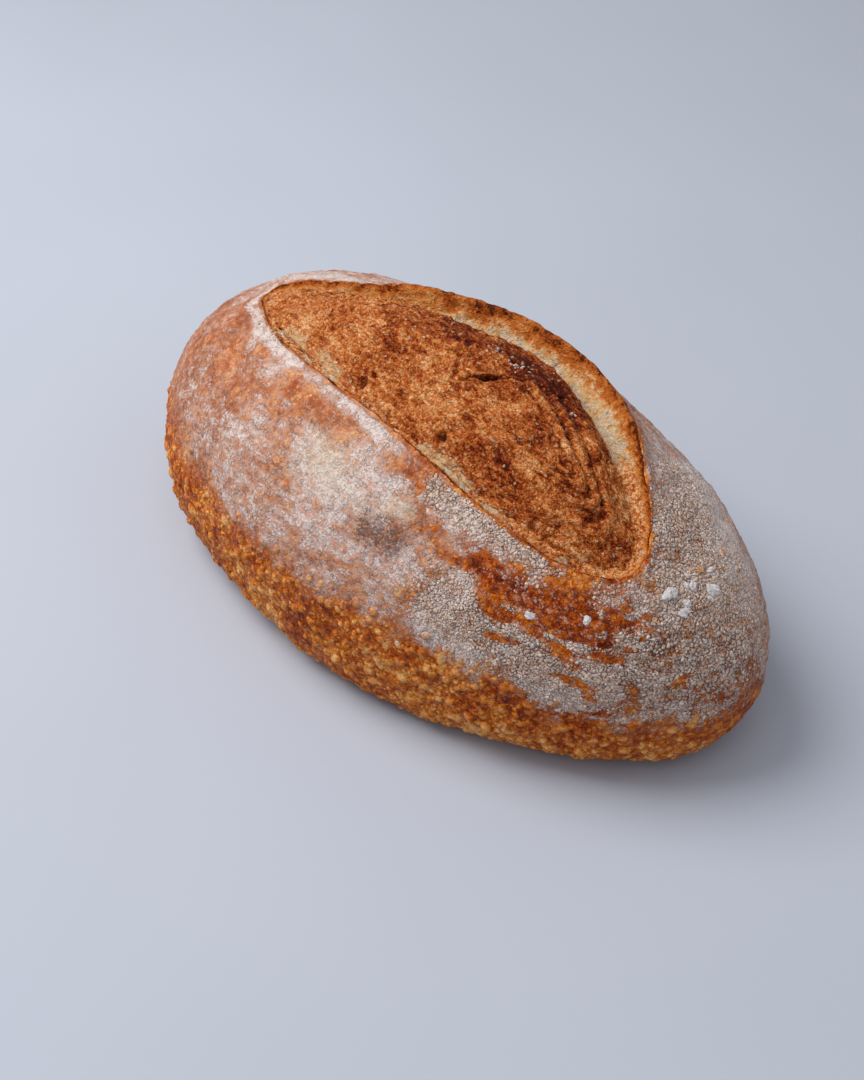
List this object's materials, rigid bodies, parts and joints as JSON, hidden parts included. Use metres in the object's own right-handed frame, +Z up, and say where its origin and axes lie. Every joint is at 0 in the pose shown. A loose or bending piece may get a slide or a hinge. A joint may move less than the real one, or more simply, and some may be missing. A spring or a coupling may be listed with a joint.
{
  "type": "country loaf",
  "caption": "Oval hearth-baked country loaf with a flat base, a lengthwise score that has opened into a domed bloom of crumb, and a lifted ear of crust along one side of it.",
  "frame": {"origin": "middle of the loaf's outline, on the plane of its flat base", "axes": "+X along the loaf towards its slightly narrower end, +Y across it towards the side with the ear, +Z up"},
  "size_m": [0.3, 0.1621, 0.1206],
  "materials": {
    "crust": "dry baked crust, rough and dusted with flour"
  },
  "bodies": {
    "root": {"loaf": "crust"}
  },
  "joints": []
}
